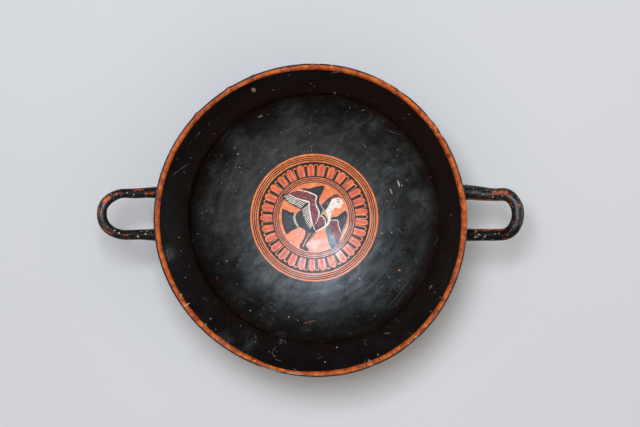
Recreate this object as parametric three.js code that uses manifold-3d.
// A wheel-thrown drinking cup in fired clay: a wide shallow bowl with an offset, flaring lip,
// two rolled clay handles below the lip, and a hollow conical foot. Bowl, handles and foot were
// joined before firing, so the cup is one solid.
//
// Millimetres, +Z up. The origin is the middle of the foot's resting plane, and the handles
// reach out along X. The vessel is one closed profile turned round Z; the handles are round
// bars swept along a loop and joined to it.

import * as THREE from "three";
import { mergeVertices } from "three/addons/utils/BufferGeometryUtils.js";
import Module from "manifold-3d";

// Lip
const cupHeight = 130;
const rimRadius = 125;
const lipHeight = 35;
const lipBaseRadius = 107.2;
const lipWall = 3.8;
const lipHollow = 1.2; // how far the lip curves in from a straight cone
const rimRounding = 1.6;

// Bowl
const shoulderRadius = 109.4;
const shoulderDrop = 5.5; // from the lip's base down to the bowl's widest level
const bowlDepth = 84.5; // from the rim down to the middle of the floor
const floorThickness = 7;
const innerSill = 1.3; // the lip's inner base stands this far inside the bowl's wall

// Stem and foot
const stemRadius = 15;
const stemFillet = 3;
const footRadius = 45.5;
const footEdge = 8;
const footShoulder = 3.5; // how fast the foot's top rises from its edge
const restingInner = 37.5;
const restingOuter = 43.5;
const restingRounding = 3;
const hollowDepth = 27;
const hollowTop = 10; // radius of the hollow below its rounded end

// Handles, rolled and set by hand, so that the left one at -X and the right one at +X differ
const leftHandleBar = 8;
const rightHandleBar = 9.6;
const leftHandleReach = 175; // from the cup's axis to the outer side of the loop
const rightHandleReach = 173;
const leftBendStretch = 1.15; // how far the bend bulges out, against a half circle
const rightBendStretch = 0.8;
const handleSpacing = 34; // between the middles of a loop's two legs where they start to bend
const handleSplay = 1; // each leg's root stands this much further out from the loop's middle
const handleDrop = 8.5; // from the bowl's widest level down to where the legs' middles leave it
const handleRise = THREE.MathUtils.degToRad(20);
const handleShift = 4.2; // both loops sit this far towards +Y of the middle, as joined by hand
const rootSwell = 0.36; // share by which a leg thickens where it meets the bowl
const rootLength = 17; // over which that swelling dies away
const rootDepth = 2.2; // how deep a leg is let into the bowl's wall
const legOverrun = 14; // a leg starts this far inside the bowl's outside, before it is trimmed

// How far the soft clay was pulled out of true
const rimOval = 0.75;
const rimOvalTurn = THREE.MathUtils.degToRad(-45);
const rimThreeSided = 0.95;
const rimThreeSidedTurn = THREE.MathUtils.degToRad(60);
const shoulderShift = 2.4; // the shoulder stands this far towards +X of foot and rim

// Fullness of the curves: how far a curve runs on in its first direction, as a share of its span
const bowlFloorFullness = 0.42;
const bowlSideFullness = 0.52;
const hollowFloorFullness = 0.52;
const hollowSideFullness = 0.56;
const footFullness = 0.5;
const stemFullness = 0.45;
const roundFullness = 0.55; // makes a quarter circle

// Facets
const turns = 72;
const profileStep = 10.5; // usual length of a piece of a curved profile
const roundedSteps = 2; // pieces in a small rounding
const barSides = 12;
const barSteps = 34;
const legPoints = 3;
const bendPoints = 10;

// Levels and widths that follow from the sizes
const lipBaseZ = cupHeight - lipHeight;
const shoulderZ = lipBaseZ - shoulderDrop;
const floorZ = cupHeight - bowlDepth;
const stemZ = floorZ - floorThickness;
const lipSlant = (rimRadius - lipBaseRadius) / lipHeight;
const wallAcrossLip = lipWall * Math.hypot(1, lipSlant);
const handleHeight = shoulderZ - handleDrop;

const wasm = await Module();
wasm.setup();

// Adds a cubic curve from the path's last point to `end`; its two handles are given as offsets,
// one from where it starts and one from where it ends.
function curveTo(path, startHandle, endHandle, end) {
  const from = path.currentPoint;
  path.bezierCurveTo(
    from.x + startHandle[0],
    from.y + startHandle[1],
    end[0] + endHandle[0],
    end[1] + endHandle[1],
    end[0],
    end[1],
  );
}

// One face of the lip, between its base and the rim's rounding, curved in by the lip's hollow.
// `rising` tells whether it is drawn upwards.
function addLipFace(path, baseRadius, topRadius, rising) {
  const run = topRadius - baseRadius;
  const nearBase = [run * 0.25 - lipHollow * 0.4, lipHeight * 0.33];
  const nearRim = [-run * 0.36 - lipHollow * 0.6, -lipHeight * 0.3];
  if (rising) curveTo(path, nearBase, nearRim, [topRadius, cupHeight - rimRounding]);
  else curveTo(path, nearRim, nearBase, [baseRadius, lipBaseZ]);
}

// Outside of the stem, bowl and lip, from the stem's waist up to the outer edge of the rim.
// `inset` moves the whole line inwards.
function addOutside(path, inset) {
  const bowlRise = shoulderZ - stemZ;
  const bowlReach = shoulderRadius - stemRadius;
  path.lineTo(stemRadius - inset, stemZ - stemFillet);
  curveTo(path, [0, stemFillet], [-stemFillet, 0], [stemRadius + stemFillet, stemZ + inset]);
  curveTo(
    path,
    [bowlReach * bowlFloorFullness, 0],
    [0, -bowlRise * bowlSideFullness],
    [shoulderRadius - inset, shoulderZ],
  );
  curveTo(
    path,
    [0, shoulderDrop * roundFullness],
    [0, -shoulderDrop * 0.25],
    [lipBaseRadius - inset, lipBaseZ],
  );
  addLipFace(path, lipBaseRadius - inset, rimRadius - inset, true);
}

// The rounded rim, then the inside of the lip and of the bowl, down to the middle of the floor.
function addInside(path) {
  const rimInner = rimRadius - wallAcrossLip;
  const innerBase = lipBaseRadius - wallAcrossLip;
  const innerShoulder = innerBase + innerSill;
  const round = rimRounding * roundFullness;
  curveTo(path, [0, round], [round, 0], [rimRadius - rimRounding, cupHeight]);
  path.lineTo(rimInner + rimRounding, cupHeight);
  curveTo(path, [-round, 0], [0, round], [rimInner, cupHeight - rimRounding]);
  addLipFace(path, innerBase, rimInner, false);
  curveTo(
    path,
    [0, -shoulderDrop * 0.25],
    [0, shoulderDrop * roundFullness],
    [innerShoulder, shoulderZ],
  );
  curveTo(
    path,
    [0, -(shoulderZ - floorZ) * hollowSideFullness],
    [innerShoulder * hollowFloorFullness, 0],
    [0, floorZ],
  );
}

// The foot from the top of its hollow round to the stem: underside, resting ring, edge and top.
function addFoot(path) {
  path.moveTo(0, hollowDepth);
  curveTo(
    path,
    [hollowTop * roundFullness, 0],
    [-hollowTop * 0.2, hollowTop * 0.3],
    [hollowTop, hollowDepth - hollowTop * 0.35],
  );
  path.lineTo(restingInner - restingRounding, restingRounding);
  curveTo(
    path,
    [restingRounding * 0.5, -restingRounding * 0.4],
    [0, restingRounding * 0.4],
    [restingInner, 0],
  );
  path.lineTo(restingOuter, 0);
  const edgeRounding = footRadius - restingOuter;
  curveTo(path, [edgeRounding * 0.6, 0], [0, -footEdge * 0.3], [footRadius, footEdge * 0.45]);
  curveTo(
    path,
    [0, footEdge * 0.35],
    [edgeRounding * 0.7, 0],
    [footRadius - edgeRounding, footEdge],
  );
  curveTo(
    path,
    [-(footRadius - stemRadius) * footFullness, footShoulder],
    [0, -(stemZ - footEdge) * stemFullness],
    [stemRadius, stemZ - stemFillet],
  );
}

// Turns a profile round Z. Long curves get more points than roundings.
function turned(path) {
  const points = [];
  for (const curve of path.curves) {
    const pieces = Math.max(roundedSteps, Math.round(curve.getLength() / profileStep));
    const found = curve.getPoints(curve.isLineCurve ? 1 : pieces);
    points.push(...(points.length ? found.slice(1) : found));
  }
  return new THREE.LatheGeometry(points, turns).rotateX(Math.PI / 2);
}

// Pulls the turned shape gently out of true, more and more from the stem up: the foot stays flat.
function pulledOutOfTrue(geometry) {
  const position = geometry.getAttribute("position");
  for (let i = 0; i < position.count; i++) {
    const x = position.getX(i);
    const y = position.getY(i);
    const z = position.getZ(i);
    const angle = Math.atan2(y, x);
    const pull =
      rimOval * Math.cos(2 * (angle - rimOvalTurn)) +
      rimThreeSided * Math.cos(3 * (angle - rimThreeSidedTurn));
    const growth = THREE.MathUtils.smoothstep(z, stemZ, cupHeight);
    const scale = 1 + (growth * pull) / rimRadius;
    const lean =
      THREE.MathUtils.smoothstep(z, stemZ, shoulderZ) -
      THREE.MathUtils.smoothstep(z, lipBaseZ, cupHeight);
    position.setXY(i, x * scale + shoulderShift * lean, y * scale);
  }
  return geometry;
}

// The whole vessel with its hollow bowl and foot.
function vesselGeometry() {
  const path = new THREE.Path();
  addFoot(path);
  addOutside(path, 0);
  addInside(path);
  return pulledOutOfTrue(turned(path));
}

// The bowl filled in, and smaller all round by the depth that the legs are let into its wall.
function fillingGeometry() {
  const path = new THREE.Path();
  path.moveTo(0, stemZ - stemFillet);
  addOutside(path, rootDepth);
  path.lineTo(0, cupHeight - rimRounding);
  return pulledOutOfTrue(turned(path));
}

// The middle line of one handle: two legs joined by a half ellipse, rising away from the bowl.
// `side` is 1 for the handle towards +X and -1 for the other.
function handleLine({ side, bar, reach, bendStretch }) {
  const start = shoulderRadius - legOverrun;
  const halfSpacing = handleSpacing / 2;
  const bulge = halfSpacing * bendStretch;
  const bendAt = (reach - bar / 2 - start) / Math.cos(handleRise) - bulge;
  const leg = [];
  for (let i = 0; i < legPoints; i++) {
    const along = i / legPoints;
    leg.push([bendAt * along, halfSpacing + handleSplay * (1 - along)]);
  }
  const flat = leg.map(([out, across]) => [out, -across]);
  for (let i = 0; i <= bendPoints; i++) {
    const angle = Math.PI * (i / bendPoints - 0.5);
    flat.push([bendAt + bulge * Math.cos(angle), halfSpacing * Math.sin(angle)]);
  }
  flat.push(...leg.reverse());
  const startZ = handleHeight - legOverrun * Math.tan(handleRise);
  const points = flat.map(
    ([out, across]) =>
      new THREE.Vector3(
        side * (start + out * Math.cos(handleRise)),
        handleShift + across,
        startZ + out * Math.sin(handleRise),
      ),
  );
  return new THREE.CatmullRomCurve3(points);
}

// The round section of a bar.
function barSection(bar) {
  const corners = [];
  for (let i = 0; i < barSides; i++) {
    const angle = (2 * Math.PI * i) / barSides;
    corners.push(new THREE.Vector2(Math.cos(angle), Math.sin(angle)).multiplyScalar(bar / 2));
  }
  return new THREE.Shape(corners);
}

// A round bar along the handle's line, thicker towards the roots of both legs.
function handleGeometry(handle) {
  const line = handleLine(handle);
  const geometry = new THREE.ExtrudeGeometry(barSection(handle.bar), {
    steps: barSteps,
    bevelEnabled: false,
    extrudePath: line,
  });
  const stations = line.getSpacedPoints(barSteps);
  const stationLength = line.getLength() / barSteps;
  const position = geometry.getAttribute("position");
  const vertex = new THREE.Vector3();
  for (let i = 0; i < position.count; i++) {
    vertex.fromBufferAttribute(position, i);
    let nearest = 0;
    stations.forEach((station, k) => {
      if (vertex.distanceTo(station) < vertex.distanceTo(stations[nearest])) nearest = k;
    });
    const middle = stations[nearest];
    const fromEnd = Math.min(nearest, barSteps - nearest) * stationLength;
    const swelling = 1 - THREE.MathUtils.smoothstep(fromEnd, legOverrun, legOverrun + rootLength);
    vertex.sub(middle).multiplyScalar(1 + rootSwell * swelling).add(middle);
    position.setXYZ(i, vertex.x, vertex.y, vertex.z);
  }
  return geometry;
}

// A geometry as a solid for joining and cutting.
function solid(geometry) {
  const bare = geometry.clone();
  bare.deleteAttribute("normal");
  bare.deleteAttribute("uv");
  const merged = mergeVertices(bare, 1e-3);
  return new wasm.Manifold(
    new wasm.Mesh({
      numProp: 3,
      vertProperties: merged.attributes.position.array,
      triVerts: new Uint32Array(merged.index.array),
    }),
  );
}

const handles = [
  { side: 1, bar: rightHandleBar, reach: rightHandleReach, bendStretch: rightBendStretch },
  { side: -1, bar: leftHandleBar, reach: leftHandleReach, bendStretch: leftBendStretch },
];

// The vessel and both handles as one solid. The filling keeps the legs out of the bowl's hollow.
function cupGeometry() {
  const filling = solid(fillingGeometry());
  let cup = solid(vesselGeometry());
  for (const handle of handles) {
    cup = cup.add(solid(handleGeometry(handle)).subtract(filling));
  }
  const mesh = cup.getMesh();
  const geometry = new THREE.BufferGeometry();
  geometry.setAttribute("position", new THREE.BufferAttribute(mesh.vertProperties, 3));
  geometry.setIndex(new THREE.BufferAttribute(mesh.triVerts, 1));
  geometry.computeVertexNormals();
  return geometry;
}

const glossSlip = new THREE.MeshStandardMaterial({
  color: 0x1b1a19,
  roughness: 0.38,
  metalness: 0,
});

const cup = new THREE.Mesh(cupGeometry(), glossSlip);
cup.name = "kylix";

const part = new THREE.Group();
part.add(cup);

export default part;
